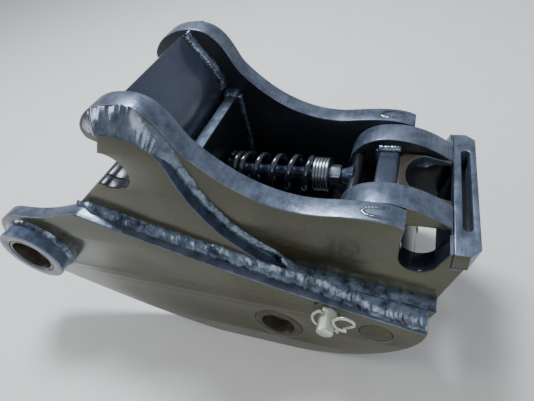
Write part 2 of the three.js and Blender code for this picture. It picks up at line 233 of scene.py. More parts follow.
FACE = paint_material(
    "coated_plate_painted_reflection", dark=(0.03, 0.03, 0.015), light=(0.076, 0.073, 0.036), dust=(0.17, 0.165, 0.12),
    gloss=0.24, metallic=0.35,
)
# A near-black copy of the coating for faces between the plates and in recesses: painted shade.
INNER = paint_material(
    "coated_inner_painted_shade", dark=(0.008, 0.010, 0.015), light=(0.022, 0.026, 0.038),
    dust=(0.08, 0.08, 0.09), gloss=0.34, metallic=0.3,
)
# A lighter blue-grey copy of the coating for the jaw plate, the latch's cross bar and the web's
# walls: painted light from above.
CROSS = paint_material(
    "coated_cross_plate_painted_light", dark=(0.045, 0.06, 0.095), light=(0.11, 0.135, 0.19),
    dust=(0.24, 0.25, 0.28), gloss=0.26, metallic=0.5,
)
# The cut edges' blue-grey tone is painted light from above; their streaks and pits are the cut's own
# marks.
EDGE = cut_material(
    "cut_edge", dark=(0.06, 0.08, 0.12), light=(0.18, 0.22, 0.3), metallic=0.6, gloss=0.24,
)
# A darker copy of the cut edge for the doubler's edge, the bosses and the spring rod: painted shade.
EDGE_SHADED = cut_material(
    "cut_edge_painted_shade", dark=(0.028, 0.042, 0.075), light=(0.1, 0.14, 0.21), metallic=0.5, gloss=0.2,
)
# The light end of the weld's cloud is bright enough to paint highlights on the beads.
WELD = weld_material(
    "weld", dark=(0.014, 0.025, 0.048), light=(0.19, 0.25, 0.34), gloss=0.1, lump=0.35,
    cloud_size=90,
)
# A lighter copy of the weld for the beak and the rim beads: painted highlights.
WELD_LIT = weld_material(
    "weld_lit_painted_highlight", dark=(0.035, 0.052, 0.085), light=(0.2, 0.25, 0.33), gloss=0.12, lump=0.22,
    cloud_size=45,
)
WEB = paint_material(
    "coated_web", dark=(0.045, 0.035, 0.022), light=(0.1, 0.078, 0.052), dust=(0.14, 0.12, 0.09),
    gloss=0.3, metallic=0.3,
)
SPRING = paint_material(
    "spring_paint", dark=(0.03, 0.036, 0.05), light=(0.1, 0.12, 0.16), dust=(0.1, 0.11, 0.13),
    gloss=0.16, metallic=0.7, coat=0.8,
)
ZINC = turned_material(
    "zinc", dark=(0.1, 0.12, 0.15), light=(0.42, 0.46, 0.53), stretch=(0.06, 1, 1), gloss=0.22,
)
ZINC_PALE = turned_material(
    "zinc_pale", dark=(0.34, 0.38, 0.33), light=(0.78, 0.8, 0.68), stretch=(1, 0.08, 1), gloss=0.24,
)
BORE = turned_material(
    "bored_steel", dark=(0.05, 0.045, 0.035), light=(0.15, 0.135, 0.1), stretch=(0.05, 1, 0.05),
    gloss=0.24,
)
# The link bush's end face, tinted olive like the plates' faces: a painted reflection of a yellow
# backdrop.
PIN_END = turned_material(
    "pin_end", dark=(0.035, 0.033, 0.016), light=(0.08, 0.075, 0.038), stretch=(1, 1, 1), gloss=0.3,
    metallic=0.4,
)


# ---------- mesh building ----------

def shown(name, data):
    """A new object in the scene."""
    obj = bpy.data.objects.new(name, data)
    bpy.context.scene.collection.objects.link(obj)
    return obj


def clean(mesh, sharp, merge=None):
    """Turns the faces outward and marks sharp edges. merge joins points that lie that close."""
    work = bmesh.new()
    work.from_mesh(mesh)
    if merge is not None:
        bmesh.ops.remove_doubles(work, verts=work.verts, dist=merge)
    bmesh.ops.recalc_face_normals(work, faces=work.faces)
    work.to_mesh(mesh)
    work.free()
    mesh.set_sharp_from_angle(angle=math.radians(sharp))


def put(name, verts, faces, materials, indices=None, smooth=None, sharp=40.0):
    """Makes an object from vertices in millimetres."""
    mesh = bpy.data.meshes.new(name)
    mesh.from_pydata((np.asarray(verts, float) * MM).tolist(), [], faces)
    for material in materials:
        mesh.materials.append(material)
    if indices is not None:
        mesh.polygons.foreach_set("material_index", indices)
    mesh.polygons.foreach_set("use_smooth", [True] * len(faces) if smooth is None else smooth)
    clean(mesh, sharp)
    mesh.update()
    return shown(name, mesh)


def fit(obj, body, slot, *nodes):
    """Lets obj move with a body and stand for its CAD nodes."""
    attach(obj, body)
    if nodes:
        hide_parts(*nodes)
    return obj


def bezier(p0, p1, p2, p3, steps=18):
    t = np.linspace(0, 1, steps + 1)[:, None]
    p0, p1, p2, p3 = (np.array(p, float) for p in (p0, p1, p2, p3))
    return (1 - t) ** 3 * p0 + 3 * (1 - t) ** 2 * t * p1 + 3 * (1 - t) * t * t * p2 + t ** 3 * p3


def curve(p0, p1, p2, steps=18):
    p0, p1, p2 = (np.array(p, float) for p in (p0, p1, p2))
    return bezier(p0, p0 + (p1 - p0) * 2 / 3, p2 + (p1 - p2) * 2 / 3, p2, steps)


def arc(centre, radius, start, end, steps=24):
    a = np.linspace(start, end, steps + 1)
    return np.c_[centre[0] + radius * np.cos(a), centre[1] + radius * np.sin(a)]


def circle(centre, radius, steps=64):
    return arc(centre, radius, 0, 2 * math.pi, steps)[:-1]


def path(*parts):
    """Joins runs of points into one, dropping repeats."""
    points = np.vstack([np.atleast_2d(np.array(p, float)) for p in parts])
    keep = [0]
    for i in range(1, len(points)):
        if np.hypot(*(points[i] - points[keep[-1]])) > 0.05:
            keep.append(i)
    return points[keep]


def turned(loop, wanted):
    """The loop run anticlockwise where wanted is 1, clockwise where it's -1."""
    x, y = loop[:, 0], loop[:, 1]
    area = np.sum(x * np.roll(y, -1) - y * np.roll(x, -1))
    return loop if area * wanted > 0 else loop[::-1]


def left_of(directions):
    return np.c_[-directions[:, 1], directions[:, 0]]


def inset(loop, distance):
    """Moves a closed loop's points to its left."""
    ahead = np.roll(loop, -1, 0) - loop
    ahead /= np.linalg.norm(ahead, axis=1)[:, None] + 1e-9
    behind = np.roll(ahead, 1, 0)
    total = left_of(ahead) + left_of(behind)
    scale = 1 + np.sum(left_of(ahead) * left_of(behind), 1)
    return loop + distance * total / np.maximum(scale, 0.35)[:, None]


def slab(name, outer, holes, low, high, place, materials, edge=0.9, bevel_steps=3):
    """A plate from side outlines, with rounded edges. place turns (u, v, w) arrays into x, y, z.

    materials are those of the low face, the edges and, if given, the high face.
    """
    loops = [turned(outer, 1)] + [turned(h, -1) for h in holes]
    verts, faces, kinds = [], [], []
    rows = []
    for k in range(bevel_steps + 1):
        a = math.pi / 2 * k / bevel_steps
        rows.append((edge * (1 - math.sin(a)), low + edge * (1 - math.cos(a))))
    rows += [(d, high - (w - low)) for d, w in rows[::-1]]
    starts = []
    count = 0
    for d, w in rows:
        row_starts = []
        for loop in loops:
            moved = inset(loop, d)
            verts.append(np.c_[moved, np.full(len(moved), w)])
            row_starts.append(count)
            count += len(moved)
        starts.append(row_starts)
    for r in range(len(rows) - 1):
        for i, loop in enumerate(loops):
            size = len(loop)
            a, b = starts[r][i], starts[r + 1][i]
            for j in range(size):
                k = (j + 1) % size
                faces.append((a + j, a + k, b + k, b + j))
                kinds.append(1)
    edge_faces = len(faces)
    for r in (0, len(rows) - 1):
        polygons = [[Vector((p[0], p[1], 0)) for p in inset(loop, rows[r][0])] for loop in loops]
        order = np.concatenate([
            np.arange(start, start + len(loop)) for start, loop in zip(starts[r], loops)
        ])
        for tri in tessellate_polygon(polygons):
            faces.append(tuple(int(order[t]) for t in tri))
            kinds.append(0 if r == 0 or len(materials) < 3 else 2)
    verts = np.vstack(verts)
    verts = np.c_[place(verts[:, 0], verts[:, 1], verts[:, 2])]
    smooth = [i < edge_faces for i in range(len(faces))]
    return put(name, verts, faces, materials, kinds, smooth)


def upright(u, v, w):
    """Outlines in the side view, thickness along Y."""
    return u, w, v


def quads(rows, size, closed=False):
    """Faces between rings of size points. closed joins the last ring to the first."""
    faces = []
    for i in range(rows if closed else rows - 1):
        j = (i + 1) % rows
        for k in range(size):
            m = (k + 1) % size
            faces.append((i * size + k, i * size + m, j * size + m, j * size + k))
    return faces


def capped(rows, size):
    """The same, with a face across each end."""
    ends = [tuple(range(size)), tuple(range((rows - 1) * size, rows * size))]
    return quads(rows, size) + ends


def lathe(name, profile, place, materials, steps=72, axis="Y", wobble=None):
    """Turns (radius, along) pairs. The profile is closed, or starts and ends on the axis."""
    profile = np.array(profile, float)
    closed = np.allclose(profile[0], profile[-1])
    rows = profile[:-1] if closed else profile
    a = np.linspace(0, 2 * math.pi, steps, endpoint=False)
    r = rows[:, 0][:, None] * np.ones(steps)
    s = rows[:, 1][:, None] * np.ones(steps)
    if wobble is not None:
        r = wobble(r, s, a[None, :])
    u, v = r * np.cos(a), r * np.sin(a)
    if axis == "Y":
        points = np.stack([place[0] + u, s, place[1] + v], -1)
    else:
        points = np.stack([place[0] + s, u, place[1] + v], -1)
    obj = put(name, points.reshape(-1, 3), quads(len(rows), steps, closed), materials)
    clean(obj.data, 40, merge=1e-6)
    return obj


def tube(name, points, radius, materials, sides=14):
    """A round wire along points, narrowed a little at its ends."""
    points = np.array(points, float)
    tangent = np.gradient(points, axis=0)
    tangent /= np.linalg.norm(tangent, axis=1)[:, None]
    side = np.cross(tangent[0], (0.3, 0.9, 0.2))
    verts = []
    count = len(points)
    a = np.linspace(0, 2 * math.pi, sides, endpoint=False)
    for i in range(count):
        side -= tangent[i] * (side @ tangent[i])
        side /= np.linalg.norm(side)
        other = np.cross(tangent[i], side)
        scale = 1.0 if 0 < i < count - 1 else 0.8
        ring_points = np.outer(np.cos(a), side) + np.outer(np.sin(a), other)
        verts.append(points[i] + radius * scale * ring_points)
    return put(name, np.vstack(verts), capped(count, sides), materials, sharp=50)


def run_length(points):
    """How far each point lies along the line."""
    return np.r_[0, np.cumsum(np.linalg.norm(np.diff(points, axis=0), axis=1))]


def resample(points, step):
    """Evenly spaced points along the line, and how far each lies along it."""
    points = np.array(points, float)
    lengths = run_length(points)
    count = max(2, int(lengths[-1] / step) + 1)
    t = np.linspace(0, lengths[-1], count)
    columns = tuple(np.interp(t, lengths, points[:, i]) for i in range(points.shape[1]))
    return np.c_[columns], t


def smooth_noise(t, size, seed):
    """Even, repeatable one-dimensional noise between -1 and 1."""
    local = np.random.default_rng(seed)
    knots = local.uniform(-1, 1, int(t[-1] / size) + 4)
    x = t / size
    i = x.astype(int)
    f = x - i
    f = f * f * (3 - 2 * f)
    return knots[i] * (1 - f) + knots[i + 1] * f


def bead(name, root, toe_a, toe_b, t, pitch=3.4, ripple=0.5, bulge=0.16, seed=1, across=14,
         material=WELD):
    """A weld bead between two toes, with crescent ripples and uneven edges.

    root, the toes and t run along it. pitch is the ripples' spacing, ripple their height, bulge
    the bead's rise as a share of its width, and across its number of points from toe to toe.
    """
    width = np.linalg.norm(toe_a - toe_b, axis=1)[:, None]
    slow, fast = 0.07, 0.04
    wander_a = smooth_noise(t, 6, seed) * slow + smooth_noise(t, 2.1, seed + 1) * fast
    wander_b = smooth_noise(t, 7, seed + 2) * slow + smooth_noise(t, 2.4, seed + 3) * fast
    a = toe_a + (toe_a - root) * wander_a[:, None]
    b = toe_b + (toe_b - root) * wander_b[:, None]
    out = (a + b) / 2 - root
    out /= np.linalg.norm(out, axis=1)[:, None] + 1e-9
    phase = t / pitch + 0.35 * smooth_noise(t, 9, seed + 4)
    height = bulge * (1 + 0.35 * smooth_noise(t, 11, seed + 5))
    end = np.clip(np.minimum(t - t[0], t[-1] - t) / (0.35 * width[:, 0].mean() + 1), 0, 1) ** 0.5
    rows = []
    for v in np.linspace(0, 1, across):
        dome = 4 * v * (1 - v)
        wave = (phase - 0.75 * dome) % 1.0
        wave = np.where(wave < 0.8, wave / 0.8, (1 - wave) / 0.2)
        lift = (width[:, 0] * height * dome + ripple * (wave - 0.4) * min(1, 3 * dome)) * end
        rows.append(a * (1 - v) + b * v + out * lift[:, None])
    rows.append(root.copy())
    grid = np.stack(rows, 1)
    count, size = grid.shape[:2]
    for i in (0, count - 1):
        grid[i] = root[i] + (grid[i] - root[i]) * 0.75  # the ends are drawn in
    return put(name, grid.reshape(-1, 3), capped(count, size), [material], sharp=60)


# ---------- side outlines, as x and z ----------

def jaw_and_chin(upper):
    """The fixed jaw's wall, from the angle upper down, its lip and the edge to the chin."""
    return path(
        arc(JAW, JAW_R, upper, -math.pi / 2, 44),
        curve((-60, 214.5), (-67, 220.5), (-72, 216), 10),
        (-122, 178),
    )


BOTTOM_EDGE = path(
    (-122, 162), (56, 96), (108, 94), curve((118, 80), (130, 36), (PIVOT[0], 34.6)),
    curve((PIVOT[0], 34.6), (211, 36), (212.5, 74)),
)
RIM = path(
    bezier((189.1, 188.5), (175, 197), (150, 195), (126.7, 193)),
    bezier((126.7, 193), (85, 190.5), (48, 213), (21.5, 246.6), 30),
    bezier((21.5, 246.6), (12, 258), (12, 291), (-24.4, 290.6), 30),
    bezier((-24.4, 290.6), (-42, 290.8), (-57, 284), (-66, 271), 14),
)
DOUBLER_EDGE = path(
    (221, 100.5), (96, 119), bezier((96, 119), (38, 150), (16, 190), (9, 245), 44),
    bezier((9, 245), (5, 262), (-15, 273), (-38.5, 271.6), 24),
)
EAR_TOP = path(
    curve((215.7, 88), (75, 117), (-100, 184.5), 60),
    curve((-100, 184.5), (-108, 188), (-118, 185), 10),
)


def hook_outline():
    return path(
        RIM, curve((-66, 271), (-70, 264), (-66, 257.5), 8), jaw_and_chin(1.83), BOTTOM_EDGE,
        (221.5, 103.4), (234.6, 148.6), (225.1, 148.6), (225.1, 166.4), (222.6, 166.4),
        arc(NOTCH, NOTCH_R, -0.13 * math.pi, -math.pi, 44), (187.1, 174),
    )


def doubler_outline():
    return path(DOUBLER_EDGE, jaw_and_chin(1.6), BOTTOM_EDGE)


def ear_outline():
    head_end = 1.36 * math.pi
    return path(
        EAR_TOP, bezier((-118, 185), (-145, 176), (-165, 171), (BOSS[0], BOSS[1] + EAR_HEAD)),
        arc(BOSS, EAR_HEAD, math.pi / 2, head_end, 60),
        bezier(arc(BOSS, EAR_HEAD, 0, head_end, 1)[-1], (-150, 45), (-60, 8), (0, 0), 40),
        (84, 0), bezier((84, 0), (145, 0), (214, 44), (215.7, 88), 40),
    )


def latch_outline():
    return path(
        bezier((131, 160), (131, 176), (145, 191.5), (168, 191.8), 24),
        bezier((168, 191.8), (190, 192.5), (207, 184), (224, 171), 24),
        (224, 168.6), curve((188, 168.6), (185, 168.6), (185, 165.6), 6),
        curve((184, 136), (187, 108), (PIVOT[0] + 30, PIVOT[1]), 20),
        arc(PIVOT, 30, 0, -1.34 * math.pi, 60), curve((146, 123), (134, 143), (131, 160), 16),
    )


# ---------- the fixed frame ----------

def paint_seat_shade(obj):
    """Gives the jaw's and the notch's walls the darker, near-black inner material: painted shade in
    these recesses.
    """
    edge, dark = 1, 3
    jaw_reach, notch_reach = 26, 24
    lip_x, lip_z = -40, 222
    for polygon in obj.data.polygons:
        x, z = polygon.center.x / MM, polygon.center.z / MM
        in_jaw = math.hypot(x - JAW[0], z - JAW[1]) < jaw_reach or (x < lip_x and z < lip_z)
        in_notch = math.hypot(x - NOTCH[0], z - NOTCH[1]) < notch_reach
        if polygon.material_index == edge and (in_jaw or in_notch):
            polygon.material_index = dark


def plates():
    """The three welded side plates, once on each side."""
    pins = [(PIVOT, PIVOT_BORE), (LOCK, LOCK_BORE)]
    kinds = (
        ("hook_plate", hook_outline(), HOOK, pins, EDGE),
        ("doubler", doubler_outline(), DOUBLER, pins, EDGE_SHADED),
        ("ear", ear_outline(), EAR, [(BOSS, BUSH_BORE), (LINK, BUSH_BORE)] + pins, EDGE),
    )
    for kind, outline, (inner, outer), holes, edge in kinds:
        loops = [circle(centre, radius) for centre, radius in holes]
        for side, sign in (("near", -1), ("far", 1)):
            low, high = sorted((sign * inner, sign * outer))
            # Faces towards the middle get INNER, painted shade between the plates.
            faces = [FACE, edge, INNER] if side == "near" else [INNER, edge, FACE]
            faces.append(INNER)  # the near-black material that paints shade on the jaw's and the notch's walls
            obj = slab(f"{side}_{kind}_shell", outline, loops, low, high, upright, faces)
            if kind != "ear":
                paint_seat_shade(obj)
            fit(obj, "frame", "painted_steel", f"{side}_{kind}")


def ring(name, place, bore, outer, low, high, material, steps=96, edge=0.8, foot=0.0):
    """A bush with chamfered rims. foot adds a small fillet where it meets the plate behind it."""
    e = edge
    rows = [
        (bore + e, low), (outer + foot, low), (outer + foot * 0.35, low + foot * 0.4),
        (outer, low + max(foot, 0.3)), (outer, high - e), (outer - e * 0.4, high - e * 0.3),
        (outer - e, high), (bore + e, high), (bore + e * 0.3, high - e * 0.3), (bore, high - e),
        (bore, low + e), (bore + e, low),
    ]
    return lathe(name, rows, place, [material], steps)


def mirrored(obj, name):
    """A copy on the other side of the middle plane."""
    mesh = obj.data.copy()
    mesh.transform(Matrix.Diagonal((1, -1, 1, 1)))
    mesh.flip_normals()
    return shown(name, mesh)


def bushes():
    boss = ring("far_boss_shell", BOSS, BUSH_BORE, 37.5, 102.9, 119.6, EDGE_SHADED, foot=3.0)
    liner = ring("far_boss_liner_shell", BOSS, 22.5, 26, EAR[0], 119.1, BORE, edge=0.5)
    bush = ring("far_link_bush_shell", LINK, 17.5, 26, *EAR, PIN_END, edge=0.7)
    for obj, node, slot in (
        (boss, "boss", "painted_steel"),
        (liner, "boss_liner", "bare_steel"),
        (bush, "link_bush", "bare_steel"),
    ):
        near = mirrored(obj, f"near_{node}_shell")
        fit(obj, "frame", slot, f"far_{node}")
        fit(near, "frame", slot, f"near_{node}")


def pin_rows(radius, low, high, chamfer):
    """A plain pin's profile for lathe."""
    c = chamfer
    return [
        (0, low), (radius - c, low), (radius - c * 0.3, low + c * 0.3), (radius, low + c),
        (radius, high - c), (radius - c * 0.3, high - c * 0.3), (radius - c, high), (0, high),
    ]


def jaw_tail(radius, length):
    """A point on the jaw plate's straight part, which leaves its arc at 30 degrees."""
    return arc(JAW, radius, 0, math.pi / 6, 1)[-1] + length * np.array((-0.5, 0.866))


def across(u, v, w):
    """Outlines in the end view, as y and z, thickness along X."""
    return w, u, v


def sloped(u, v, w):
    """The nose bar lies flat, and its front face slopes back towards the bottom."""
    start, depth, top, slope = 239, 5.7, 166.4, 0.3
    reach = np.clip((u - start) / depth, 0, 1)
    return u - reach * (top - w) * math.tan(slope), v, w


def cross_members():
    half = CROSS_HALF
    jaw_plate = path(
        arc(JAW, JAW_PLATE_OUTER, -math.pi / 4, math.pi / 6, 36),
        jaw_tail(JAW_PLATE_OUTER, 36),
        jaw_tail(JAW_PLATE_INNER, 36),
        arc(JAW, JAW_PLATE_INNER, math.pi / 6, -math.pi / 4, 36),
    )
    obj = slab("jaw_plate_shell", jaw_plate, [], -half, half, upright, [CROSS, CROSS])
    fit(obj, "frame", "painted_steel", "jaw_plate")

    bracket = path((-half, 105), (half, 105), (half, 223), (-half, 223))
    rod_hole = circle((0, 170.5), 10)
    faces = [INNER, EDGE, INNER]
    obj = slab("spring_bracket_shell", bracket, [rod_hole], 2, 14, across, faces)
    fit(obj, "frame", "painted_steel", "spring_bracket")

    back, front, side, corner = 225.4, 244.7, 75, 8
    bar = path(
        (back, -side), (front - corner, -side), (front, -side + corner), (front, side - corner),
        (front - corner, side), (back, side),
    )
    slot_x, slot_end, slot_r = 235.55, 46.3, 3.7
    slot = path(
        arc((slot_x, slot_end), slot_r, 0, math.pi, 16),
        arc((slot_x, -slot_end), slot_r, math.pi, 2 * math.pi, 16),
    )
    obj = slab("nose_bar_shell", bar, [slot], 148.9, 166.4, sloped, [FACE, EDGE, EDGE], 1.0)
    for polygon in obj.data.polygons:
        if abs(polygon.normal.y) > 0.75 and abs(polygon.center.y) > (side - 3) * MM:
            polygon.material_index = 0  # the bar's two ends look like its top, and take the plates' face coating with its painted olive reflection
    fit(obj, "frame", "painted_steel", "nose_bar")

    cover = path((239.1, 148.6), (230.9, 148.6), (218.2, 104.6), (226.4, 104.6))
    obj = slab("nose_cover_shell", cover, [], -half, half, upright, [INNER, INNER], 0.6)
    fit(obj, "frame", "painted_steel", "nose_cover")

    bay = path((14.3, 111.5), (56, 96), (108, 94), (108, 104), (57.5, 106), (14.3, 122.2))
    obj = slab("bay_floor_shell", bay, [], -half, half, upright, [INNER, INNER], 0.6)
    fit(obj, "frame", "painted_steel", "bay_floor")

    pin = lathe("pivot_pin_shell", pin_rows(15, -EAR[1], EAR[1], 0.8), PIVOT, [PIN_END], 72)
    fit(pin, "frame", "bare_steel", "pivot_pin")


# ---------- the latch, rod and spring ----------

def drooped(u, v, w):
    """The web lies flat, and its top falls away towards the latch's tip."""
    start, length, drop = 203, 20, 7.0
    bottom, thick = 168.6, 9.4
    fall = np.clip((u - start) / length, 0, 1) ** 1.6 * drop
    share = np.clip((w - bottom) / thick, 0, 1)
    return u, v, w - fall * share


def latch():
    outline = latch_outline()
    loops = [circle(PIVOT, LATCH_BORE), circle(BAR, BAR_BORE, 40)]
    for side, sign in (("near", -1), ("far", 1)):
        low, high = sorted((sign * LATCH[0], sign * LATCH[1]))
        # Faces towards the middle get INNER, painted shade between the latch plates.
        faces = [FACE, EDGE, INNER] if side == "near" else [INNER, EDGE, FACE]
        obj = slab(f"{side}_latch_plate_shell", outline, loops, low, high, upright, faces, 1.1)
        fit(obj, "latch", "painted_steel", f"{side}_latch_plate")

    half = LATCH_HALF
    bar = path(
        (159.5, 150), (178.5, 150), curve((178.5, 177), (178.5, 181.5), (174, 181.5), 8),
        curve((163, 181.5), (159.5, 181.5), (159.5, 178), 8),
    )
    obj = slab("latch_cross_bar_shell", bar, [], -half, half, upright, [EDGE, CROSS, EDGE], 0.6)
    fit(obj, "latch", "painted_steel", "latch_cross_bar")

    left, right = 178.8, 223
    arch_x, arch_deep, arch_half = 202, 17, 24
    a = np.linspace(-math.pi / 2, -1.5 * math.pi, 40)
    web = path(
        (left, -half), (right, -half), (right, -arch_half), (arch_x, -arch_half),
        np.c_[arch_x + arch_deep * np.cos(a), arch_half * np.sin(a)],
        (right, arch_half), (right, half), (left, half),
    )
    obj = slab("latch_web_shell", web, [], 168.6, 178, drooped, [INNER, CROSS, WEB], 0.6)
    fit(obj, "latch", "painted_steel", "latch_web")
    hub = ring("latch_hub_tube_shell", PIVOT, LATCH_BORE, 28, -half, half, INNER, 72)
    fit(hub, "latch", "painted_steel", "latch_hub_tube")


def thread(start, end, pitch, depth):
    """A wobble for lathe that cuts a thread into the rod's wall between start and end."""
    core = 5

    def shape(r, s, a):
        turns = (s / pitch + a / (2 * math.pi)) % 1.0
        groove = np.abs(turns - 0.5) * 2
        on = (s > start) & (s < end) & (r > core)
        return r - depth * groove * on

    return shape


def hexagon(r, s, a):
    """A wobble for lathe that gives the nut its flats and leaves its bore round."""
    apothem, bore_limit = 9.0, 8
    wall = apothem / np.cos((a + math.pi / 6) % (math.pi / 3) - math.pi / 6)
    return np.where(r > bore_limit, np.minimum(r, wall), r)


def rod():
    bar = lathe("rod_cross_bar_shell", pin_rows(6, -53, 53, 0.8), BAR, [INNER], 48)
    fit(bar, "spring_rod", "painted_steel", "rod_cross_bar")

    profile = [(0, -157.0), (4.8, -157.0), (6, -155.8)]
    profile += [(6, x) for x in np.arange(-155.4, -12.6, 0.35)]
    profile += [(6.3, -12.4), (6.8, -10), (8.2, -6.6), (9.6, -3.4), (10.6, -1.2), (0, -1.2)]
    shape = thread(-150, -14, 1.75, 0.75)
    # The zinc rod takes the darker cut-edge material: painted shade behind the spring.
    obj = lathe("spring_rod_shell", profile, BAR, [EDGE_SHADED], 40, "X", shape)
    fit(obj, "spring_rod", "zinc", "spring_rod")

    first, step = 103.2, 2.9
    rows = [
        (6.6, 0.3), (6.9, 0), (15.4, 0), (16, 0.6), (16, 2.0), (15.4, 2.6), (6.9, 2.6), (6.6, 2.3),
        (6.6, 0.3),
    ]
    for i in range(5):
        low = first + i * step
        profile = [(r, low + s - BAR[0]) for r, s in rows]
        washer = lathe(f"spring_washer_{i + 1}_shell", profile, BAR, [ZINC], 72, "X")
        fit(washer, "spring_rod", "zinc", f"spring_washer_{i + 1}")

    nut_low = 117.8
    rows = [
        (6.3, 0.9), (7.1, 0), (9.2, 0), (10.4, 0.9), (10.4, 9.5), (9.2, 10.4), (7.1, 10.4),
        (6.3, 9.5), (6.3, 0.9),
    ]
    profile = [(r, nut_low + s - BAR[0]) for r, s in rows]
    nut = lathe("rod_nut_shell", profile, BAR, [ZINC], 120, "X", hexagon)
    fit(nut, "spring_rod", "zinc", "rod_nut")


def spring():
    """A compression spring with two closed turns at the bracket and one at the washers."""
    closed, wire, coil = 7.4, 3.0, 15  # a closed turn's pitch, the wire's and the coil's radius
    left, right = 14.6, 102.8
    turns, open_turns, smoothing = 6.3, 4, 15
    pitch = (right - left - 2 * wire - 2 * closed) / open_turns
    turn = np.linspace(0, turns, 560)
    opened = np.minimum(2 * closed + pitch * (turn - 2), 2 * closed + open_turns * pitch)
    along = np.where(turn < 2, closed * turn, opened)
    kernel = np.ones(smoothing) / smoothing
    along = np.convolve(np.pad(along, smoothing // 2, mode="edge"), kernel, "valid")
    angle = 2 * math.pi * turn
    points = np.c_[left + wire + along, coil * np.sin(angle), BAR[1] + coil * np.cos(angle)]
    obj = tube("latch_spring_shell", points, wire - 0.02, [SPRING], 20)
    fit(obj, "spring", "black_spring", "latch_spring")
    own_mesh(obj)


def lock():
    reach, collar = 123.5, 103.6
    rows = [
        (0, -reach), (6.2, -reach), (7.4, -reach + 0.5), (8, -reach + 1.7), (8, collar),
        (12.4, collar), (13, collar + 0.6), (13, collar + 5.4), (12.4, collar + 6), (8, collar + 6),
        (8, reach - 1.6), (7.2, reach - 0.4), (6.2, reach), (0, reach),
    ]
    pin = lathe("lock_pin_shell", rows, LOCK, [ZINC_PALE], 56)
    fit(pin, "lock_pin", "zinc", "lock_pin")

    lean, bow, wire, clip_y = -0.345, 13.4, 1.55, -109
    legs = [(x * math.sin(lean), 0, x * math.cos(lean)) for x in (-24.4, -18, -12, -6, 0, 6, 11)]

    def turn(centre, radius, start, end, steps, lift_a, lift_b):
        s = np.linspace(0, 1, steps + 1)
        a = start + s * (end - start)
        lift = lift_a + s * (lift_b - lift_a)
        return np.c_[centre[0] + radius * np.cos(a), -lift, centre[1] + radius * np.sin(a)]

    points = np.vstack([
        legs, turn((0, 0), bow, 0.66 * math.pi, 1.86 * math.pi, 12, 0.4, 4.2),
        turn((16, 9.4), 8.8, -0.18 * math.pi, 1.6 * math.pi, 14, 4.6, 8.6),
    ])
    spline = catmull(points, 8) + np.array((LOCK[0], clip_y, LOCK[1]))
    clip = tube("r_clip_shell", spline, wire, [ZINC_PALE], 12)
    fit(clip, "r_clip", "zinc", "r_clip")


def catmull(points, steps):
    """A smooth line through the points."""
    ends = np.vstack([2 * points[0] - points[1], points, 2 * points[-1] - points[-2]])
    out = []
    for i in range(1, len(ends) - 2):
        p0, p1, p2, p3 = ends[i - 1:i + 3]
        for t in np.linspace(0, 1, steps, endpoint=False):
            out.append(0.5 * (
                2 * p1 + (p2 - p0) * t + (2 * p0 - 5 * p1 + 4 * p2 - p3) * t * t
                + (3 * p1 - p0 - 3 * p2 + p3) * t ** 3
            ))
    out.append(points[-1])
    return np.array(out)


# ---------- welds ----------

def outward(line):
    """Left-hand normals of an open line in the side view."""
    d = np.gradient(line, axis=0)
    d /= np.linalg.norm(d, axis=1)[:, None]
    return left_of(d)


def at(line, y):
    """A line in the side view, placed at a distance y from the middle plane."""
    return np.c_[line[:, 0], np.full(len(line), 1.0) * y, line[:, 1]]


def ease(x, low, high):
    """0 up to low, 1 from high on, with a smooth step between. low may be the larger one."""
    s = np.clip((x - low) / (high - low), 0, 1)
    return s * s * (3 - 2 * s)


def ledge_weld(side, sign, seed):
    """Ear plate to doubler, along the whole top of the ear."""
    line, t = resample(EAR_TOP[:-3], WELD_STEP)
    taper = 0.55 + 0.45 * ease(line[:, 0], -104, -92)
    up = (11.5 - 3.5 * ease(line[:, 0], 60, -90)) * taper
    root = at(line, sign * EAR_SEAM)
    toe_a = at(line + (0, 0.3), 0)
    toe_a[:, 1] = sign * (EAR_SEAM + (7.5 + 5.5 * ease(line[:, 0], 110, 190)) * taper)
    toe_b = root.copy()
    toe_b[:, 2] += up
    ripple = 0.07 + 0.2 * ease(line[:, 0], 110, 190)
    obj = bead(
        f"{side}_ledge_weld", root, toe_a, toe_b, t, pitch=4.6, ripple=ripple, bulge=0.09, seed=seed,
        across=18,
    )
    fit(obj, "frame", "painted_steel")


def doubler_weld(side, sign, seed):
    """Doubler to hook plate, along the doubler's free edge up to the beak."""
    whole, _ = resample(DOUBLER_EDGE, WELD_STEP)
    line, t = resample(whole[:np.argmax(whole[:, 1] > 236)], WELD_STEP)
    normal = -outward(line)
    ledge = ease(line[:, 0], 74, 100) * ease(line[:, 1], 140, 124)
    leg_y = 3.2 + 7.5 * ledge
    leg_n = 8.5 - 5.5 * ledge
    root = at(line, sign * DOUBLER_SEAM)
    toe_a = at(line + normal * 0.2, 0)
    toe_a[:, 1] = sign * (DOUBLER_SEAM + leg_y)
    toe_b = at(line + normal * leg_n[:, None], sign * DOUBLER_SEAM)
    obj = bead(
        f"{side}_doubler_weld", root, toe_a, toe_b, t, pitch=4.2, ripple=0.22, bulge=0.08, seed=seed,
        across=16,
    )
    fit(obj, "frame", "painted_steel")


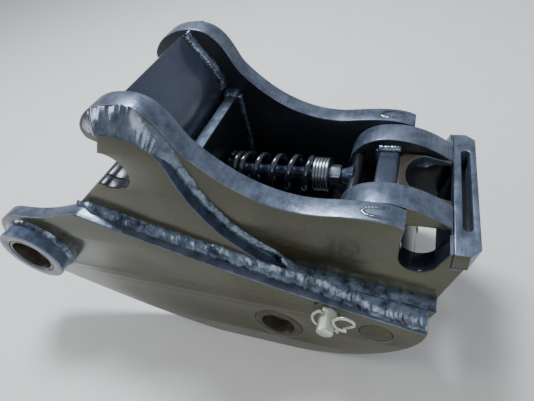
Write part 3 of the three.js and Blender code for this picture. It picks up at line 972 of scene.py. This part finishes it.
def beak_weld(side, sign, seed):
    """The weld that fills the step from doubler to hook plate round the beak, out to its tip."""
    whole, _ = resample(DOUBLER_EDGE, WELD_STEP)
    low = whole[np.argmax(whole[:, 1] > 222):]
    share = np.linspace(0, 1, 150)

    def spread(points):
        place = np.linspace(0, 1, len(points))
        return np.c_[tuple(np.interp(share, place, points[:, i]) for i in (0, 1))]

    inner = spread(resample(path(low, (-50, 267), (-60.5, 264)), 0.5)[0][:, :2])
    rim_start = (34.0, 231.5)
    rim = resample(RIM, 0.5)[0][:, :2]
    rim = rim[np.argmin(np.hypot(*(rim - rim_start).T)):]
    outer = spread(rim)
    normal = -outward(inner)
    close = inner + normal * 8.5
    widen = ease(share, 0.12, 0.5)[:, None]
    outer = close * (1 - widen) + outer * widen
    step = 3.2 + 9.0 * ease(share, 0.1, 0.4) - 11.0 * ease(share, 0.78, 1.0)
    root = at(inner - normal * 0.3, sign * DOUBLER_SEAM)
    toe_a = at(inner + normal * 0.2, 0)
    toe_a[:, 1] = sign * (DOUBLER_SEAM + step)
    toe_b = at(outer + (0, -0.5), sign * 74.2)
    obj = bead(
        f"{side}_beak_weld", root, toe_a, toe_b, run_length(inner), pitch=5.0, ripple=0.03,
        bulge=0.05, seed=seed, across=22, material=WELD_LIT,
    )
    for vertex in obj.data.vertices:
        vertex.co.z = min(vertex.co.z, BEAK_TOP * MM)
    fit(obj, "frame", "painted_steel")


def seam(name, body, points, a_dir, b_dir, leg_a, leg_b, seed, **more):
    """A straight or bent fillet along points, its legs along two fixed directions."""
    line, t = resample(points, 0.8)
    a_dir, b_dir = np.array(a_dir, float), np.array(b_dir, float)
    obj = bead(name, line, line + a_dir * leg_a, line + b_dir * leg_b, t, seed=seed, **more)
    fit(obj, body, "painted_steel")


def small_welds():
    top_line = path(jaw_tail(JAW_PLATE_OUTER, 35), arc(JAW, JAW_PLATE_OUTER, math.pi / 6, -0.1, 20))
    out_normal, up, forward, back = np.array((0.866, 0, 0.5)), (0, 0, 1), (1, 0, 0), (-1, 0, 0)
    for side, sign, seed in (("near", -1, 31), ("far", 1, 37)):
        inward = (0, -sign, 0)
        frame_y, latch_y = sign * CROSS_SEAM, sign * LATCH_SEAM
        seam(
            f"{side}_jaw_plate_weld", "frame", at(top_line, frame_y), inward, out_normal,
            6.5, 5.5, seed, pitch=3.0, ripple=0.35,
        )
        seam(
            f"{side}_bracket_weld", "frame", [(14.2, frame_y, z) for z in (108, 222)],
            inward, forward, 4.0, 4.0, seed + 1, pitch=3.0, ripple=0.3,
        )
        seam(
            f"{side}_bracket_cap_weld", "frame", [(x, frame_y, 223.2) for x in (0, 15.5)],
            inward, up, 9.0, 4.5, seed + 2, pitch=3.2, ripple=0.8, bulge=0.3,
        )
        seam(
            f"{side}_cross_bar_weld", "latch", [(x, latch_y, 181.8) for x in (158.5, 179.5)],
            inward, up, 5.0, 4.0, seed + 3, pitch=3.0, ripple=0.6, bulge=0.25,
        )
        seam(
            f"{side}_cross_bar_front_weld", "latch", [(159.3, latch_y, z) for z in (152, 181)],
            inward, back, 3.5, 3.5, seed + 4, pitch=3.0, ripple=0.3,
        )


def rim_bead(side, sign, seed):
    """A short curved bead left on top of the hook plate's rim, near the notch."""
    a = np.linspace(0.25 * math.pi, 1.6 * math.pi, 60)
    long, short = 13, 5.2  # the half axes of its oval
    x, y = 170 + long * np.cos(a), 65.5 + short * np.sin(a)
    top = np.interp(x, RIM[::-1][:, 0], RIM[::-1][:, 1])
    centre = np.c_[x, sign * y, top - 0.3]
    aside = np.c_[np.cos(a) / long, sign * np.sin(a) / short, np.zeros(len(a))]
    aside *= 2.1 / np.linalg.norm(aside, axis=1)[:, None]
    root = centre - (0, 0, 0.8)
    lifted = centre + (0, 0, 0.25)
    obj = bead(
        f"{side}_rim_bead", root, lifted - aside, lifted + aside, run_length(centre), pitch=2.4,
        ripple=0.25, bulge=0.2, seed=seed, across=10, material=WELD_LIT,
    )
    fit(obj, "frame", "painted_steel")


def boss_weld(side, sign, seed):
    """A ring of weld at the foot of the boss."""
    a = np.linspace(0, 2 * math.pi, 260)
    foot, leg_r, leg_y = 37.4, 41.5, 107.2
    face = 102.7

    def ring_at(r, y):
        return np.c_[BOSS[0] + r * np.cos(a), np.full(len(a), y), BOSS[1] + r * np.sin(a)]

    root, toe_a = ring_at(foot, sign * face), ring_at(leg_r, sign * face)
    toe_b = ring_at(foot, sign * leg_y)
    obj = bead(
        f"{side}_boss_weld", root, toe_a, toe_b, a * 37.5, pitch=3.2, ripple=0.2, bulge=0.05,
        seed=seed, across=8,
    )
    fit(obj, "frame", "painted_steel")


# ---------- stage, light and camera ----------

def stage():
    pale = Nodes("pale_floor")
    grain = pale.noise(40, 4, 0.6)
    colour = pale.ramp(grain, [(0.3, (0.8, 0.795, 0.77)), (0.7, (0.84, 0.835, 0.81))])
    rough = pale.ramp(pale.noise(15, 3), [(0.3, 0.55), (0.7, 0.65)])
    pale.done(colour, rough, pale.bump(pale.noise(600, 3), 0.04, 0.0002))
    mesh = bpy.data.meshes.new("floor")
    half = 6  # metres
    corners = [(-half, -half, 0), (half, -half, 0), (half, half, 0), (-half, half, 0)]
    mesh.from_pydata(corners, [], [(0, 1, 2, 3)])
    mesh.materials.append(pale.material)
    floor = shown("floor", mesh)
    floor.location.z = -0.0002  # just under the part

    world = bpy.data.worlds.new("studio")
    bpy.context.scene.world = world
    world.use_nodes = True
    back = world.node_tree.nodes["Background"]
    back.inputs["Color"].default_value = (0.9, 0.93, 1.0, 1)
    back.inputs["Strength"].default_value = 0.45

    lamp(
        "overhead", place=(-0.35, 0.55, 1.6), target=(0, 0, 0.15), size=(0.5, 0.35), power=30,
        colour=(0.86, 0.93, 1.0),
    )
    lamp(
        "left", place=(-1.5, -0.5, 1.1), target=(0, 0, 0.15), size=(0.6, 0.6), power=9,
        colour=(0.95, 0.97, 1.0),
    )
    lamp(
        "front", place=(0.6, -1.6, 0.9), target=(0, 0, 0.1), size=(1.2, 0.9), power=6,
        colour=(1.0, 0.97, 0.9),
    )


def lamp(name, place, target, size, power, colour):
    """A rectangular lamp that points at target. Places and sizes are in metres."""
    data = bpy.data.lights.new(name, "AREA")
    data.shape, data.size, data.size_y = "RECTANGLE", size[0], size[1]
    data.energy, data.color = power, colour
    obj = shown(name, data)
    obj.location = place
    obj.rotation_euler = (Vector(target) - Vector(place)).to_track_quat("-Z", "Y").to_euler()


def camera():
    data = bpy.data.cameras.new("camera")
    data.lens, data.sensor_width = CAMERA_LENS, CAMERA_SENSOR
    data.clip_start = 0.01
    cam = shown("camera", data)
    ahead, right = Vector(CAMERA_AHEAD).normalized(), Vector(CAMERA_RIGHT)
    right = (right - ahead * right.dot(ahead)).normalized()
    up = right.cross(ahead)
    turn = Matrix((right, up, -ahead)).transposed().to_4x4()
    cam.matrix_world = Matrix.Translation(CAMERA_PLACE) @ turn
    bpy.context.scene.camera = cam


plates()
bushes()
cross_members()
latch()
rod()
spring()
lock()
for which, flip, number in (("near", -1, 3), ("far", 1, 11)):
    ledge_weld(which, flip, number)
    doubler_weld(which, flip, number + 4)
    beak_weld(which, flip, number + 6)
    rim_bead(which, flip, number + 7)
    boss_weld(which, flip, number + 5)
small_welds()
stage()
camera()
